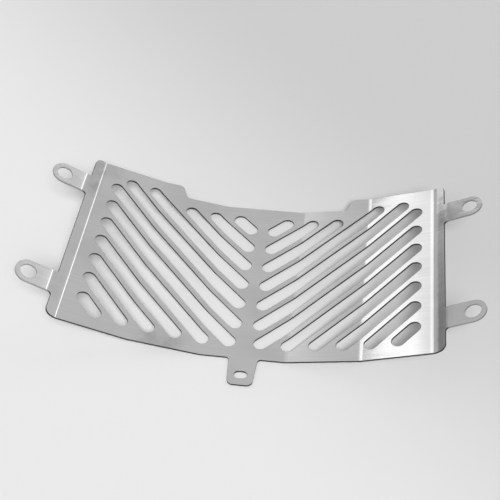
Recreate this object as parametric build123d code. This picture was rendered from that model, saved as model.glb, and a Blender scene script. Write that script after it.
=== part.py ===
from build123d import *
import os
from math import cos, radians, sin, sqrt, tan

# Radiator guard: one laser-cut sheet with slanted slots, folded lengthwise into a shallow trough.
# It lies on its centre facet with the hollow side up and +Y towards its upper edge.
# Lengths are in millimetres and angles in degrees. Places across the sheet, called u, are measured
# along the hollow face from the middle line. Places up the sheet, called v, start at its lower edge.

# Sheet
sheet_thickness = 1.5
panel_height = 164.2

# Facets from the middle outwards, measured between the middle lines of their folds
centre_facet_width = 59.2
inner_wing_width = 52.1
outer_wing_width = 50.7
lip_width = 8.1

# Folds, with the radius on the inside of each fold
inner_fold_angle = 10.1
outer_fold_angle = 7.8
wing_fold_radius = 22.0
lip_fold_angle = 23.1
lip_fold_radius = 7.0

# Corners of the lips
lip_upper_corner_radius = 6.4
lip_lower_corner_radius = 5.0

# Recess in the upper edge
recess_depth = 12.4
recess_half_width = 65.8
recess_side_angle = 68.0
recess_corner_radius = 4.0

# Slots: two mirrored sets that rise outwards from a plain spine, as many as the sheet has room for
slot_width = 10.0
slot_angle = 45.0
slot_pitch = 19.28
first_slot_drop = 33.05
shortest_slot = 6.0
spine_width = 7.7
slot_end_to_lower_edge = 14.2
slot_end_to_upper_edge = 14.9
slot_end_to_recess = 14.6
slot_end_to_lip = 14.4

# Side tabs: two on each lip, bent back outwards
lower_side_tab_height = 27.2
upper_side_tab_drop = 32.4
side_tab_width = 19.2
side_tab_root_length = 3.5
side_tab_reach = 16.5
side_tab_fold_angle = 14.0
side_tab_fold_radius = 9.0
side_tab_hole_diameter = 11.7
side_tab_upper_root_radius = 1.0
side_tab_lower_root_radius = 2.0

# Lower tab, a little off the middle line
lower_tab_length = 23.1
lower_tab_root_width = 20.1
lower_tab_end_width = 17.2
lower_tab_offset = 0.8
lower_tab_corner_radius = 4.3
lower_tab_root_radius = 2.7
lower_hole_width = 6.5
lower_hole_length = 9.5
lower_hole_drop = 14.6

# How far a cutter stands past the faces that it cuts, and its steps along a slot's round end
cutter_clearance = 0.5
round_end_steps = 8

# Places that follow from the sizes
inner_fold_place = centre_facet_width / 2
outer_fold_place = inner_fold_place + inner_wing_width
lip_fold_place = outer_fold_place + outer_wing_width
lip_edge = lip_fold_place + lip_width
side_tab_fold_place = lip_edge + side_tab_root_length
side_tab_hole_place = side_tab_fold_place + side_tab_reach
recess_level = panel_height - recess_depth
side_tab_heights = (lower_side_tab_height, panel_height - upper_side_tab_drop)
slot_radius = slot_width / 2
middle_height = (panel_height - lower_tab_length) / 2


class Fold:
    """A fold line: its turn, and where its curve starts and ends on the hollow face."""

    def __init__(self, place, angle, inner_radius):
        self.angle = angle
        self.sign = 1 if angle > 0 else -1
        self.radius = inner_radius if angle > 0 else inner_radius + sheet_thickness
        half_arc = self.radius * radians(abs(angle)) / 2
        self.start = place - half_arc
        self.end = place + half_arc


inner_fold = Fold(inner_fold_place, inner_fold_angle, wing_fold_radius)
outer_fold = Fold(outer_fold_place, outer_fold_angle, wing_fold_radius)
lip_fold = Fold(lip_fold_place, lip_fold_angle, lip_fold_radius)
side_tab_fold = Fold(side_tab_fold_place, -side_tab_fold_angle, side_tab_fold_radius)


def station(u):
    """The hollow face at u on the folded sheet: its x, its z and its slope in radians."""
    x, z, slope, reached = 0, sheet_thickness, 0, 0
    for fold in (inner_fold, outer_fold, lip_fold, side_tab_fold):
        flat = min(u, fold.start) - reached
        x += flat * cos(slope)
        z += flat * sin(slope)
        reached = fold.end
        if u <= fold.start:
            return x, z, slope
        signed_radius = fold.sign * fold.radius
        next_slope = slope + (min(u, fold.end) - fold.start) / signed_radius
        x += signed_radius * (sin(next_slope) - sin(slope))
        z += signed_radius * (cos(slope) - cos(next_slope))
        slope = next_slope
        if u <= fold.end:
            return x, z, slope
    return x + (u - reached) * cos(slope), z + (u - reached) * sin(slope), slope


def face_plane(u):
    """The hollow face's plane at u, with X across the sheet and Y up the sheet."""
    x, z, slope = station(u)
    across = (cos(slope), 0, sin(slope))
    outwards = (-sin(slope), 0, cos(slope))
    return Plane((x, -middle_height, z), x_dir=across, z_dir=outwards)


def section_plane(u):
    """The plane through the thickness at u, with X up the sheet and Y out of the hollow face."""
    x, z, slope = station(u)
    across = (cos(slope), 0, sin(slope))
    return Plane((x, -middle_height, z), x_dir=(0, 1, 0), z_dir=across)


def rectangle(left, right, low, high):
    """A rectangle by its four sides."""
    return Pos((left + right) / 2, (low + high) / 2) * Rectangle(right - left, high - low)


def round_corner(face, place, radius):
    """The face with the corner nearest to a place rounded."""
    corner = face.vertices().sort_by_distance((*place, 0))[0]
    return fillet(corner, radius)


class Slot:
    """A slanted slot of the right-hand set, by the places of its round ends' centres."""

    def __init__(self, number):
        self.rise = tan(radians(slot_angle))
        self.level = recess_level - first_slot_drop - number * slot_pitch
        above_lower_edge = self.place(slot_end_to_lower_edge)
        below_recess = self.place(recess_level - slot_end_to_recess)
        below_upper_edge = self.place(panel_height - slot_end_to_upper_edge)
        self.low = max(spine_width / 2 + slot_radius, above_lower_edge)
        self.high = min(
            lip_fold_place - slot_end_to_lip,
            below_recess if below_recess < recess_half_width else below_upper_edge,
        )
        self.length = (self.high - self.low) / cos(radians(slot_angle))
        self.lean = slot_radius * sin(radians(slot_angle))

    def place(self, v):
        """The u of the middle line at the height v."""
        return (v - self.level) / self.rise

    def height(self, u):
        """The v of the middle line at the place u."""
        return self.level + u * self.rise

    def face(self):
        """The slot on the flat sheet."""
        middle = (self.low + self.high) / 2
        outline = SlotCenterToCenter(self.length, slot_width)
        return Pos(middle, self.height(middle)) * Rot(0, 0, slot_angle) * outline

    def span(self, u):
        """The lowest and the highest v of the slot at the place u."""
        below = min(max(u - self.lean, self.low), self.high)
        above = min(max(u + self.lean, self.low), self.high)
        low_v = self.height(below) - sqrt(slot_radius ** 2 - (u - below) ** 2)
        high_v = self.height(above) + sqrt(slot_radius ** 2 - (u - above) ** 2)
        return low_v, high_v

    def passage(self, fold):
        """The slot's cutter through a fold, with walls that twist as the sheet turns, or None."""
        first = max(fold.start, self.low - slot_radius + cutter_clearance)
        last = min(fold.end, self.high + slot_radius - cutter_clearance)
        if first >= last:
            return None
        straight = self.low + self.lean <= first and last <= self.high - self.lean
        steps = 1 if straight else round_end_steps
        depth = sheet_thickness + cutter_clearance
        sections = []
        for step in range(steps + 1):
            u = first + (last - first) * step / steps
            sections.append(section_plane(u) * rectangle(*self.span(u), -depth, cutter_clearance))
        return loft(sections, ruled=True)


slot_rows = int((panel_height + lip_fold_place * tan(radians(slot_angle))) / slot_pitch)
slots = [slot for slot in map(Slot, range(slot_rows)) if slot.length >= shortest_slot]


def half_pattern():
    """The right half of the flat sheet, with its slots and side tabs."""
    side_run = recess_depth / tan(radians(recess_side_angle))
    recess_floor_end = (recess_half_width - side_run / 2, recess_level)
    recess_top_end = (recess_half_width + side_run / 2, panel_height)
    lower_corner = (lip_edge, 0)
    upper_corner = (lip_edge, panel_height)
    middle_line = [(0, recess_level), (0, 0)]
    outline = [*middle_line, lower_corner, upper_corner, recess_top_end, recess_floor_end]
    sheet = make_face(Polyline(*outline, close=True))
    sheet = round_corner(sheet, recess_floor_end, recess_corner_radius)
    sheet = round_corner(sheet, recess_top_end, recess_corner_radius)
    sheet = round_corner(sheet, lower_corner, lip_lower_corner_radius)
    sheet = round_corner(sheet, upper_corner, lip_upper_corner_radius)
    for height in side_tab_heights:
        low, high = height - side_tab_width / 2, height + side_tab_width / 2
        sheet += rectangle(lip_fold.end, side_tab_hole_place, low, high)
        sheet += Pos(side_tab_hole_place, height) * Circle(side_tab_width / 2)
        sheet = round_corner(sheet, (lip_edge, low), side_tab_lower_root_radius)
        sheet = round_corner(sheet, (lip_edge, high), side_tab_upper_root_radius)
        sheet -= Pos(side_tab_hole_place, height) * Circle(side_tab_hole_diameter / 2)
    return sheet - [slot.face() for slot in slots]


def lower_tab():
    """The tapered lower tab with rounded end corners, on the flat sheet."""
    half_root, half_end = lower_tab_root_width / 2, lower_tab_end_width / 2
    ends = [(lower_tab_offset + side * half_end, -lower_tab_length) for side in (-1, 1)]
    roots = [(lower_tab_offset + side * half_root, 0) for side in (1, -1)]
    tab = make_face(Polyline(*ends, *roots, close=True))
    for end in ends:
        tab = round_corner(tab, end, lower_tab_corner_radius)
    return tab


def centre_face(pattern):
    """The centre facet with the lower tab and its slotted hole, on the flat sheet."""
    half = pattern & rectangle(0, inner_fold.start, 0, panel_height)
    face = half + mirror(half, about=Plane.YZ) + lower_tab()
    for side in (-1, 1):
        root = (lower_tab_offset + side * lower_tab_root_width / 2, 0)
        face = round_corner(face, root, lower_tab_root_radius)
    hole = SlotOverall(lower_hole_length, lower_hole_width)
    return face - Pos(lower_tab_offset, -lower_hole_drop) * hole


def flat_strip(pattern, start, end):
    """The stretch of the pattern from start to end as a plate in its folded place."""
    strip = pattern & rectangle(start, end, 0, panel_height)
    return extrude(face_plane(start) * Pos(-start, 0) * strip, -sheet_thickness)


def fold_strip(fold, low, high):
    """The curved stretch of sheet in a fold, between two heights, with the slots that pass through."""
    plane = section_plane(fold.start)
    section = plane * rectangle(low, high, -sheet_thickness, 0)
    axis = Axis(plane.from_local_coords((0, fold.sign * fold.radius)), (0, -fold.sign, 0))
    strip = revolve(section, axis, abs(fold.angle))
    passages = [slot.passage(fold) for slot in slots]
    return strip - [passage for passage in passages if passage]


def side_wing(pattern):
    """Everything right of the centre facet, folded."""
    inner_top = recess_level if inner_fold_place < recess_half_width else panel_height
    outer_top = recess_level if outer_fold_place < recess_half_width else panel_height
    wing = fold_strip(inner_fold, 0, inner_top)
    wing += flat_strip(pattern, inner_fold.end, outer_fold.start)
    wing += fold_strip(outer_fold, 0, outer_top)
    wing += flat_strip(pattern, outer_fold.end, lip_fold.start)
    wing += fold_strip(lip_fold, 0, panel_height)
    wing += flat_strip(pattern, lip_fold.end, side_tab_fold.start)
    for height in side_tab_heights:
        wing += fold_strip(side_tab_fold, height - side_tab_width / 2, height + side_tab_width / 2)
    wing += flat_strip(pattern, side_tab_fold.end, side_tab_hole_place + side_tab_width)
    return wing


pattern = half_pattern()
centre = extrude(face_plane(0) * centre_face(pattern), -sheet_thickness)
wing = side_wing(pattern)
radiator_guard = centre + wing + mirror(wing, about=Plane.YZ)
radiator_guard.label = "radiator_guard"

os.makedirs("parts", exist_ok=True)
export_step(radiator_guard, "parts/radiator_guard.step")
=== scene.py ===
from math import cos, pi, radians, sin, tan

import bmesh
import bpy
from mathutils import Matrix


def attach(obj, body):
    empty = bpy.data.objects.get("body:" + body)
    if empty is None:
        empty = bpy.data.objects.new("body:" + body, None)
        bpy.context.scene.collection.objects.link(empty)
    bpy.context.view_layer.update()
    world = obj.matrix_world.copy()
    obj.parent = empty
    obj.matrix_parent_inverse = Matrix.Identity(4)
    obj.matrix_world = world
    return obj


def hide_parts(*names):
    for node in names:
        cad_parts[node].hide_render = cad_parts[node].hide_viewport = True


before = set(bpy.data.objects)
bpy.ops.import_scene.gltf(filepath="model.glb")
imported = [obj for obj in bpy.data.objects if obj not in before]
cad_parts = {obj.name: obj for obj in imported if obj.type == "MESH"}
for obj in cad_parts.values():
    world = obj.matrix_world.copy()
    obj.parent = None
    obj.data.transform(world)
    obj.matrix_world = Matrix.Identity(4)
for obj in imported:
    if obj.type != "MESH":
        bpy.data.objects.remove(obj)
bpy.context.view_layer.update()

# Lengths are in metres, angles in degrees and colours in linear light.

# Sheet: its deburred edges, and the turns that tell its cut walls and its flat facets
deburr_width = 0.00015
deburr_steps = 2
round_profile = 0.5
cut_edge_turn = 35.0
flat_face_turn = 0.3
merge_distance = 0.000001
facet_weight = 100

# The sheet's two materials, in their order
brushed_face = 0
cut_wall = 1

# Leans beside the folds: where across the sheet each begins, is fullest and ends, and how far it leans
wing_fold_roll = (0.0787, 0.0806, 0.0820)
wing_fold_lean = -0.06
lip_fold_inner_roll = (0.1254, 0.1272, 0.1283)
lip_fold_inner_lean = -0.024
lip_fold_outer_roll = (0.1291, 0.1304, 0.1328)
lip_fold_outer_lean = 0.145
tab_fold_roll = (0.1352, 0.1366, 0.1385)
tab_fold_lean = 0.12
tab_bow = (0.1400, 0.1580)
tab_bow_lean = -0.018

# Lean of both wings over the height of their slots
slotted_wing_roll = (0.0805, 0.0830, 0.1020)
slotted_wing_lean = 0.018
slotted_middle = 0.0105
slotted_heights = (0.060, 0.072)

# Leans on the right side alone, two of which change with the height
right_inner_fold_roll = (0.0260, 0.0287, 0.0316)
right_inner_fold_lean = -0.055
right_inner_fold_twist = 0.45
right_wing_roll = (0.0880, 0.1140, 0.1290)
right_wing_twist = 0.12
right_wing_level = 0.015
right_wing_top = (0.068, 0.086)
right_fold_start_roll = (0.1279, 0.12855, 0.1293)
right_fold_start_lean = 0.067

# Lips: where across the sheet their press lines begin, are strongest and end
lip_band = (0.1285, 0.1320, 0.1385)

# Patches on the sheet: their places across and up, half widths, half heights and strengths
patch_core = 0.3
# Patches where the patina is left off: a painted highlight that makes the steel lighter there
painted_highlight_patches = (
    (0.1040, -0.0660, 0.0220, 0.0600, 1.0),
    (-0.0950, 0.0300, 0.0180, 0.0850, 1.0),
)
# Darker, rougher patches: partly smudges and partly painted shade
smudges_and_painted_shade = (
    (0.1355, -0.04335, 0.0070, 0.0192, 0.25),
    (-0.1355, -0.04335, 0.0070, 0.0192, 0.25),
    (0.1355, 0.0555, 0.0070, 0.0170, 1.0),
    (-0.1325, 0.0720, 0.0065, 0.0270, 0.75),
    (-0.0590, -0.0660, 0.0210, 0.0120, 0.65),
    (-0.1240, 0.0860, 0.0120, 0.0140, 0.3),
)

# Noises: waves to the metre along each axis, octaves, and the strength of the finer octaves
fine_grain_noise = ((28.0, 3600.0, 28.0), 2.0, 0.6)
long_grain_noise = ((14.0, 950.0, 14.0), 3.0, 0.6)
cloud_noise = ((22.0, 34.0, 22.0), 2.0, 0.5)
blotch_noise = ((130.0, 110.0, 130.0), 3.0, 0.5)
die_line_noise = ((1500.0, 16.0, 1500.0), 2.0, 0.6)
dent_noise = ((420.0, 240.0, 420.0), 2.0, 0.6)
stripe_noise = ((2400.0, 2400.0, 90.0), 2.0, 0.6)
scale_noise = ((240.0, 240.0, 240.0), 2.0, 0.5)
mottle_noise = ((60.0, 60.0, 60.0), 4.0, 0.6)
noise_middle = 0.5
noise_range = (0.3, 0.7)

# Brushed steel: its greys, and what its grain and marks do to its tone
steel_dark = 0.62
steel_light = 0.69
patina_grey = 0.48
mark_colour = (0.36, 0.36, 0.358, 1.0)
long_grain_share = 0.55
die_line_share = 0.6
line_share = 0.7
patina_strength = 0.45
# How far the smudges and painted shade darken the steel, and how much of them the blotches leave
smudge_and_shade_strength = 0.8
smudge_and_shade_base = 0.35
blotch_range = (0.3, 0.65)
scuff_strength = 0.3
scuff_range = (0.42, 0.62)

# Brushed steel: its roughness, and how far its grain and press marks lean
steel_roughness = 0.045
line_roughness = 0.07
cloud_roughness = 0.02
marked_patch_roughness = 0.06
grain_lean = 0.14
die_line_lean = 0.08
dent_lean = 0.18

# Cut walls: painted dark as shade on the panel, and painted bright as a highlight on the side tabs from one
# place across to another
shaded_wall_dark = (0.04, 0.039, 0.038, 1.0)
shaded_wall_light = (0.09, 0.089, 0.088, 1.0)
bright_dark = (0.34, 0.34, 0.338, 1.0)
bright_light = (0.46, 0.46, 0.458, 1.0)
bright_walls = (0.1363, 0.1385)
stripe_share = 0.6
stripe_strength = 0.35
stripe_depth = 0.00006
wall_roughness = 0.36
scale_roughness = 0.16

# Floor: painted shade, lighter at the near left and darker at the far right, as a falloff of light
floor_half_size = 6.0
floor_light = 0.87
floor_dark = 0.64
floor_fade = (-0.15, 0.3)
floor_fade_ahead = 0.9
mottle_grey = 0.5
mottle_strength = 0.03
floor_roughness = 0.85
mottle_roughness = 0.1
floor_gloss = 0.2

# Camera: where the photograph was taken from
camera_place = (0.062275, -0.532479, 0.571571)
camera_turn = (45.0865, 0.0122, 6.9838)
camera_lens = 76.372
camera_sensor = 36.0

# Studio: its grey, and how that changes from side to side away from what the camera sees mirrored
studio_grey = 0.72
studio_change = 0.2
studio_sides = (-0.6, 0.6)
mirrored_ahead = 0.67
mirrored_band = (0.12, 0.4)
matt_share = 0.5

# Lights
light_distance = 8.0
strip_length = 7.0
strip_middle = 7.8
key_strength = 2.5
key_softness = 24.0
key_place = (0.2, -2.6, 2.8)
key_turn = (43.0, 0.0, 16.0)

# Card on the left: its place, and the greys of its lower and upper halves along it
card_place = -1.5
card_height = 2.25
card_length = 4.6
card_end = 3.2
card_halves = (0.58, 0.88)
card_grey = 0.66
lower_dark_grey = 0.315
lower_dark_fade = (1.35, 2.25)
lower_end_grey = 1.25
lower_end_fade = (1.95, 2.03)
upper_dark_grey = 0.31
upper_dark_fade = (2.3, 2.5)
upper_end_grey = 1.0
upper_end_fade = (2.55, 2.69)


class Value:
    """A shader socket that takes part in Python arithmetic."""

    def __init__(self, nodes, socket):
        self.nodes = nodes
        self.socket = socket

    def maths(self, operation, first, second=0.0):
        return self.nodes.node("ShaderNodeMath", {"operation": operation}, {0: first, 1: second})

    def __add__(self, other):
        return self.maths("ADD", self, other)

    def __radd__(self, other):
        return self.maths("ADD", other, self)

    def __sub__(self, other):
        return self.maths("SUBTRACT", self, other)

    def __rsub__(self, other):
        return self.maths("SUBTRACT", other, self)

    def __mul__(self, other):
        return self.maths("MULTIPLY", self, other)

    def __rmul__(self, other):
        return self.maths("MULTIPLY", other, self)

    def size(self):
        return self.maths("ABSOLUTE", self)

    def sign(self):
        return self.maths("SIGN", self)


class Nodes:
    """A node tree that is built from Python expressions."""

    def __init__(self, tree):
        self.tree = tree

    def connect(self, socket, value):
        """Sets a socket to a number, a tuple or a wrapped socket."""
        if isinstance(value, Value):
            self.tree.links.new(value.socket, socket)
        else:
            socket.default_value = value

    def node(self, kind, settings=None, sockets=None, output=0):
        """Any node, from its type, its settings and the values or links of its sockets."""
        made = self.tree.nodes.new(kind)
        for name, setting in (settings or {}).items():
            setattr(made, name, setting)
        for key, value in (sockets or {}).items():
            self.connect(made.inputs[key], value)
        return Value(self, made.outputs[output])

    def part(self, vector, axis):
        """One part of a vector as a number."""
        return self.node("ShaderNodeSeparateXYZ", {}, {0: vector}, axis)

    def place(self):
        """Object coordinates."""
        return self.node("ShaderNodeTexCoord", output="Object")

    def axis(self, name):
        """One of the object coordinates as a number."""
        return self.part(self.place(), name)

    def ramp(self, value, low, high):
        """Rises smoothly from 0 at low to 1 at high."""
        settings = {"interpolation_type": "SMOOTHSTEP"}
        return self.node("ShaderNodeMapRange", settings, {"Value": value, "From Min": low, "From Max": high})

    def hump(self, value, low, top, high):
        """Rises smoothly from 0 at low to 1 at the top and falls to 0 at high."""
        return self.ramp(value, low, top) * (1.0 - self.ramp(value, top, high))

    def blend(self, share, first, second):
        """A colour between two colours."""
        colours = {0: share, 6: first, 7: second}
        return self.node("ShaderNodeMix", {"data_type": "RGBA"}, colours, 2)


class Finish(Nodes):
    """A material and the nodes that make its surface."""

    def __init__(self, name):
        self.material = bpy.data.materials.new(name)
        self.material.use_nodes = True
        super().__init__(self.material.node_tree)

    def surface(self, sockets):
        """The material, with the values or links of its shader's own sockets."""
        shader = self.tree.nodes["Principled BSDF"]
        for name, value in sockets.items():
            self.connect(shader.inputs[name], value)
        return self.material

    def noise(self, waves, octaves, strength):
        """Noise from 0 to 1, with so many waves to the metre along each axis."""
        stretched = self.node("ShaderNodeMapping", {}, {"Vector": self.place(), "Scale": waves})
        sockets = {"Vector": stretched, "Scale": 1.0, "Detail": octaves, "Roughness": strength}
        return self.node("ShaderNodeTexNoise", {}, sockets)

    def patches(self, places):
        """Soft patches of the sheet, each from 0 at its rim to its strength in its core."""
        right = self.axis("X")
        up = self.axis("Y")
        total = 0.0
        for middle_right, middle_up, half_width, half_height, strength in places:
            off_right = (right - middle_right).size()
            off_up = (up - middle_up).size()
            within_width = 1.0 - self.ramp(off_right, patch_core * half_width, half_width)
            within_height = 1.0 - self.ramp(off_up, patch_core * half_height, half_height)
            total = total + strength * within_width * within_height
        return total


class BrushedSheet(Finish):
    """The finish of the sheet, brushed from side to side, with press lines along the lips."""

    def __init__(self):
        super().__init__("brushed_stainless")
        right = self.axis("X")
        self.up = self.axis("Y")
        self.across = right.size()
        self.side = right.sign()
        self.on_right = 0.5 + 0.5 * self.side
        self.on_lip = self.hump(self.across, *lip_band)
        self.fine_grain = self.noise(*fine_grain_noise)
        self.die_lines = self.noise(*die_line_noise)
        self.cloud = self.noise(*cloud_noise)
        self.lines = self.brushed_lines()
        self.smudge_and_shade = self.broken_smudge_and_shade()

    def brushed_lines(self):
        """The grain, most of which gives way to press lines on the lips."""
        grain = long_grain_share * self.noise(*long_grain_noise) + (1.0 - long_grain_share) * self.fine_grain
        return grain + self.on_lip * (self.die_lines - grain) * die_line_share

    def broken_smudge_and_shade(self):
        """The smudges and painted shade, broken up by blotches."""
        blotches = self.ramp(self.noise(*blotch_noise), *blotch_range)
        return self.patches(smudges_and_painted_shade) * (smudge_and_shade_base + (1.0 - smudge_and_shade_base) * blotches)

    def colour(self):
        """Clean steel under a patina that is left off in two patches as a painted highlight, with smudges,
        painted shade and scuffs on top.
        """
        tone = self.ramp(line_share * self.lines + (1.0 - line_share) * self.cloud, *noise_range)
        clean = self.blend(tone, grey(steel_dark), grey(steel_light))
        # Painted highlight: the patina is left off in these patches, so the steel is lighter there.
        outside_painted_highlights = 1.0 - self.patches(painted_highlight_patches)
        patina = patina_strength * outside_painted_highlights * self.ramp(self.cloud, *noise_range)
        steel = self.blend(patina, clean, grey(patina_grey))
        scuffs = self.on_right * self.on_lip * self.ramp(self.die_lines, *scuff_range)
        # Smudges and painted shade, with the scuffs, darken the steel towards the mark colour.
        return self.blend(smudge_and_shade_strength * self.smudge_and_shade + scuff_strength * scuffs, steel, mark_colour)

    def roughness(self):
        """Rougher on the lines of the grain and in the patches of smudge and painted shade."""
        grained = steel_roughness + line_roughness * self.lines + cloud_roughness * self.cloud
        return grained + marked_patch_roughness * self.smudge_and_shade

    def roll(self):
        """How far the sheet leans beside its folds: flatter above 0 and steeper below 0."""
        slotted = 1.0 - self.ramp((self.up - slotted_middle).size(), *slotted_heights)
        inner_fold_lean = right_inner_fold_lean + right_inner_fold_twist * self.up
        below_top = 1.0 - self.ramp(self.up, *right_wing_top)
        wing_lean = right_wing_twist * (self.up - right_wing_level) * below_top
        leans = (
            (wing_fold_roll, wing_fold_lean),
            (slotted_wing_roll, slotted_wing_lean * slotted),
            (right_inner_fold_roll, inner_fold_lean * self.on_right),
            (right_wing_roll, wing_lean * self.on_right),
            (lip_fold_inner_roll, lip_fold_inner_lean),
            (right_fold_start_roll, right_fold_start_lean * self.on_right),
            (lip_fold_outer_roll, lip_fold_outer_lean),
            (tab_fold_roll, tab_fold_lean),
        )
        total = tab_bow_lean * self.ramp(self.across, *tab_bow)
        for places, lean in leans:
            total = total + lean * self.hump(self.across, *places)
        return total

    def normal(self):
        """The sheet's own normal, turned by its leans, the press marks on the lips and the grain."""
        plain = self.node("ShaderNodeNewGeometry", output="Normal")
        facing = self.part(plain, "Z") * self.side
        dents = self.noise(*dent_noise)
        press_lean = (self.die_lines - noise_middle) * die_line_lean + (dents - noise_middle) * dent_lean
        sideways = facing * (self.roll() + self.on_lip * press_lean)
        upwards = (self.fine_grain - noise_middle) * grain_lean
        lean = self.node("ShaderNodeCombineXYZ", {}, {0: sideways, 1: upwards})
        leaning = self.node("ShaderNodeVectorMath", {"operation": "ADD"}, {0: plain, 1: lean})
        return self.node("ShaderNodeVectorMath", {"operation": "NORMALIZE"}, {0: leaning})


def grey(level):
    """A colour with no tint."""
    return (level, level, level, 1.0)


def brushed_stainless():
    """The two broad sides of the sheet."""
    finish = BrushedSheet()
    return finish.surface({
        "Base Color": finish.colour(),
        "Metallic": 1.0,
        "Roughness": finish.roughness(),
        "Normal": finish.normal(),
    })


def laser_cut_edge():
    """Cut walls, dull and striped through the thickness, painted dark as shade on the panel and painted
    bright as a highlight on the side tabs.
    """
    finish = Finish("laser_cut_edge")
    stripes = finish.noise(*stripe_noise)
    scale = finish.noise(*scale_noise)
    tone = finish.ramp(stripe_share * stripes + (1.0 - stripe_share) * scale, *noise_range)
    # Painted shade on the panel's walls and a painted highlight on the side tabs' walls: one wall finish in
    # a dark and a bright copy.
    painted_shade_wall = finish.blend(tone, shaded_wall_dark, shaded_wall_light)
    bright = finish.blend(tone, bright_dark, bright_light)
    on_tabs = finish.ramp(finish.axis("X").size(), *bright_walls)
    ridges = {"Height": stripes, "Strength": stripe_strength, "Distance": stripe_depth}
    return finish.surface({
        "Base Color": finish.blend(on_tabs, painted_shade_wall, bright),
        "Metallic": 1.0,
        "Roughness": wall_roughness + scale_roughness * scale,
        "Normal": finish.node("ShaderNodeBump", {}, ridges),
    })


def pale_floor():
    """A matt pale floor with the faint mottle of painted board, and painted shade that darkens it towards
    the far right.
    """
    finish = Finish("pale_floor")
    mottle = finish.noise(*mottle_noise)
    # Painted shade: the floor's colour darkens from the near left to the far right, as a falloff of light.
    fade = finish.ramp(finish.axis("X") + floor_fade_ahead * finish.axis("Y"), *floor_fade)
    board = finish.blend(fade, grey(floor_light), grey(floor_dark))
    return finish.surface({
        "Base Color": finish.blend(mottle_strength * mottle, board, grey(mottle_grey)),
        "Roughness": floor_roughness + mottle_roughness * mottle,
        "Specular IOR Level": floor_gloss,
    })


def card_glow():
    """The greys of the card. Its lower half is for the right lip and its upper half for the right tabs."""
    finish = Finish("dark_card")
    along = finish.axis("Y")
    lower_dark = 1.0 - finish.ramp(along, *lower_dark_fade)
    lower = finish.blend(lower_dark, grey(card_grey), grey(lower_dark_grey))
    lower = finish.blend(finish.ramp(along, *lower_end_fade), lower, grey(lower_end_grey))
    upper_dark = finish.ramp(along, *upper_dark_fade)
    upper = finish.blend(upper_dark, grey(card_grey), grey(upper_dark_grey))
    upper = finish.blend(finish.ramp(along, *upper_end_fade), upper, grey(upper_end_grey))
    in_lower = 1.0 - finish.ramp(finish.axis("Z"), *card_halves)
    return finish.surface({
        "Base Color": grey(0.0),
        "Specular IOR Level": 0.0,
        "Emission Color": finish.blend(in_lower, upper, lower),
        "Emission Strength": 1.0,
    })


def placed(name, data):
    """A new object in the scene."""
    made = bpy.data.objects.new(name, data)
    bpy.context.scene.collection.objects.link(made)
    return made


def made_mesh(name, shape, material):
    """A finished shape as a mesh of one material."""
    mesh = bpy.data.meshes.new(name)
    shape.to_mesh(mesh)
    shape.free()
    mesh.materials.append(material)
    return mesh


def upward_area(face):
    """The area of a face as seen from above, below 0 for one that faces down."""
    return face.calc_area() * face.normal.z


def tell_cut_walls(shape):
    """Tells the cut walls from the sheet's two broad sides. A broad side is what can be reached from its
    largest facet without crossing a cut edge."""
    for face in shape.faces:
        face.smooth = True
        face.material_index = cut_wall
    reached = [max(shape.faces, key=upward_area), min(shape.faces, key=upward_area)]
    for face in reached:
        face.material_index = brushed_face
    while reached:
        face = reached.pop()
        for edge in face.edges:
            if edge.calc_face_angle(pi) > radians(cut_edge_turn):
                continue
            for beyond in edge.link_faces:
                if beyond.material_index == cut_wall:
                    beyond.material_index = brushed_face
                    reached.append(beyond)


def deburr(sheet):
    """Rounds the cut edges of the sheet and keeps its facets flat beside them."""
    edges = sheet.modifiers.new("deburred_edges", "BEVEL")
    edges.width = deburr_width
    edges.segments = deburr_steps
    edges.profile = round_profile
    edges.limit_method = "ANGLE"
    edges.angle_limit = radians(cut_edge_turn)
    edges.use_clamp_overlap = False
    facets = sheet.modifiers.new("flat_facets", "WEIGHTED_NORMAL")
    facets.mode = "FACE_AREA"
    facets.weight = facet_weight
    facets.keep_sharp = True


def guard_sheet(node):
    """The folded sheet with its cut walls told apart and its cut edges deburred."""
    mesh = node.data.copy()
    mesh.name = "guard_sheet"
    mesh.materials.clear()
    mesh.materials.append(brushed_stainless())
    mesh.materials.append(laser_cut_edge())
    shape = bmesh.new()
    shape.from_mesh(mesh)
    bmesh.ops.remove_doubles(shape, verts=shape.verts, dist=merge_distance)
    flat_turn = radians(flat_face_turn)
    bmesh.ops.dissolve_limit(shape, angle_limit=flat_turn, verts=shape.verts, edges=shape.edges)
    tell_cut_walls(shape)
    shape.to_mesh(mesh)
    shape.free()
    sheet = placed("guard_sheet", mesh)
    deburr(sheet)
    return sheet


def floor():
    """The floor that the guard lies on."""
    shape = bmesh.new()
    bmesh.ops.create_grid(shape, x_segments=1, y_segments=1, size=floor_half_size)
    return placed("floor", made_mesh("floor", shape, pale_floor()))


def dark_card():
    """An upright card on the left that the right lip and tabs mirror. The camera doesn't see it, and it
    neither lights the floor nor throws a shadow."""
    shape = bmesh.new()
    bmesh.ops.create_grid(shape, x_segments=1, y_segments=1, size=0.5)
    bmesh.ops.scale(shape, vec=(card_height, card_length, 1.0), verts=shape.verts)
    bmesh.ops.rotate(shape, matrix=Matrix.Rotation(radians(90.0), 3, "Y"), verts=shape.verts)
    middle = (card_place, card_end - card_length / 2, card_height / 2)
    bmesh.ops.translate(shape, vec=middle, verts=shape.verts)
    card = placed("dark_card", made_mesh("dark_card", shape, card_glow()))
    card.visible_camera = False
    card.visible_diffuse = False
    card.visible_shadow = False
    return card


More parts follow.
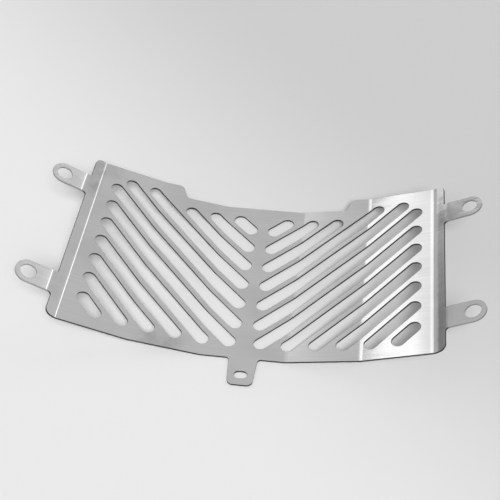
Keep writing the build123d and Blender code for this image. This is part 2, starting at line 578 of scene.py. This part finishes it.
def strip_light(name, left_lean, right_lean, brightness, fades):
    """A long softbox over the guard, parallel to its folds, with its edges at two leans off the upright.
    One that fades is bright along its left edge and dark along its right edge."""
    lamp = bpy.data.lights.new(name, "AREA")
    middle = radians((left_lean + right_lean) / 2)
    half_width = light_distance * tan(radians(right_lean - left_lean) / 2)
    lamp.shape = "RECTANGLE"
    lamp.size = 2 * half_width
    lamp.size_y = strip_length
    lamp.energy = brightness * pi * lamp.size * lamp.size_y
    holder = placed(name, lamp)
    holder.location = (light_distance * sin(middle), strip_middle, light_distance * cos(middle))
    holder.rotation_euler = (0.0, middle, 0.0)
    if fades:
        lamp.use_nodes = True
        nodes = Nodes(lamp.node_tree)
        across = nodes.part(nodes.node("ShaderNodeNewGeometry", output="Parametric"), "X")
        nodes.connect(lamp.node_tree.nodes["Emission"].inputs["Strength"], 1.0 - across)


def key_light():
    """A wide soft light from in front of the guard, for the floor and the guard's shadow on it."""
    lamp = bpy.data.lights.new("key_light", "SUN")
    lamp.energy = key_strength
    lamp.angle = radians(key_softness)
    holder = placed("key_light", lamp)
    holder.location = key_place
    holder.rotation_euler = [radians(turn) for turn in key_turn]
    holder.visible_glossy = False


def studio_world():
    """A grey studio, even where the camera sees it mirrored and lighter on the left elsewhere.
    Metal mirrors it at full strength and matt surfaces take less light from it."""
    world = bpy.data.worlds.new("studio")
    world.use_nodes = True
    nodes = Nodes(world.node_tree)
    left = -1.0 * nodes.axis("X")
    ahead = nodes.axis("Y")
    uneven = nodes.ramp((ahead - mirrored_ahead).size(), *mirrored_band)
    tone = studio_grey + studio_change * uneven * (2.0 * nodes.ramp(left, *studio_sides) - 1.0)
    colour = nodes.node("ShaderNodeCombineXYZ", {}, {0: tone, 1: tone, 2: tone})
    seen = nodes.node("ShaderNodeLightPath", output="Is Camera Ray")
    mirrored = nodes.node("ShaderNodeLightPath", output="Is Glossy Ray")
    through = nodes.node("ShaderNodeLightPath", output="Is Transmission Ray")
    strength = matt_share + (1.0 - matt_share) * (seen + mirrored + through)
    background = world.node_tree.nodes["Background"]
    nodes.connect(background.inputs["Color"], colour)
    nodes.connect(background.inputs["Strength"], strength)
    bpy.context.scene.world = world


def camera():
    """The camera at the photograph's viewing angle."""
    data = bpy.data.cameras.new("camera")
    data.lens = camera_lens
    data.sensor_width = camera_sensor
    holder = placed("camera", data)
    holder.location = camera_place
    holder.rotation_euler = [radians(turn) for turn in camera_turn]
    bpy.context.scene.camera = holder


sheet = guard_sheet(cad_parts["radiator_guard"])
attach(sheet, "root")
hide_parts("radiator_guard")
floor()
dark_card()
strip_light("left_strip", left_lean=-32.5, right_lean=-29.9, brightness=0.37, fades=False)
strip_light("left_fading_strip", left_lean=-32.5, right_lean=-18.3, brightness=0.67, fades=True)
strip_light("right_fading_strip", left_lean=33.5, right_lean=44.5, brightness=1.85, fades=True)
key_light()
studio_world()
camera()
bpy.context.scene.view_settings.view_transform = "Standard"
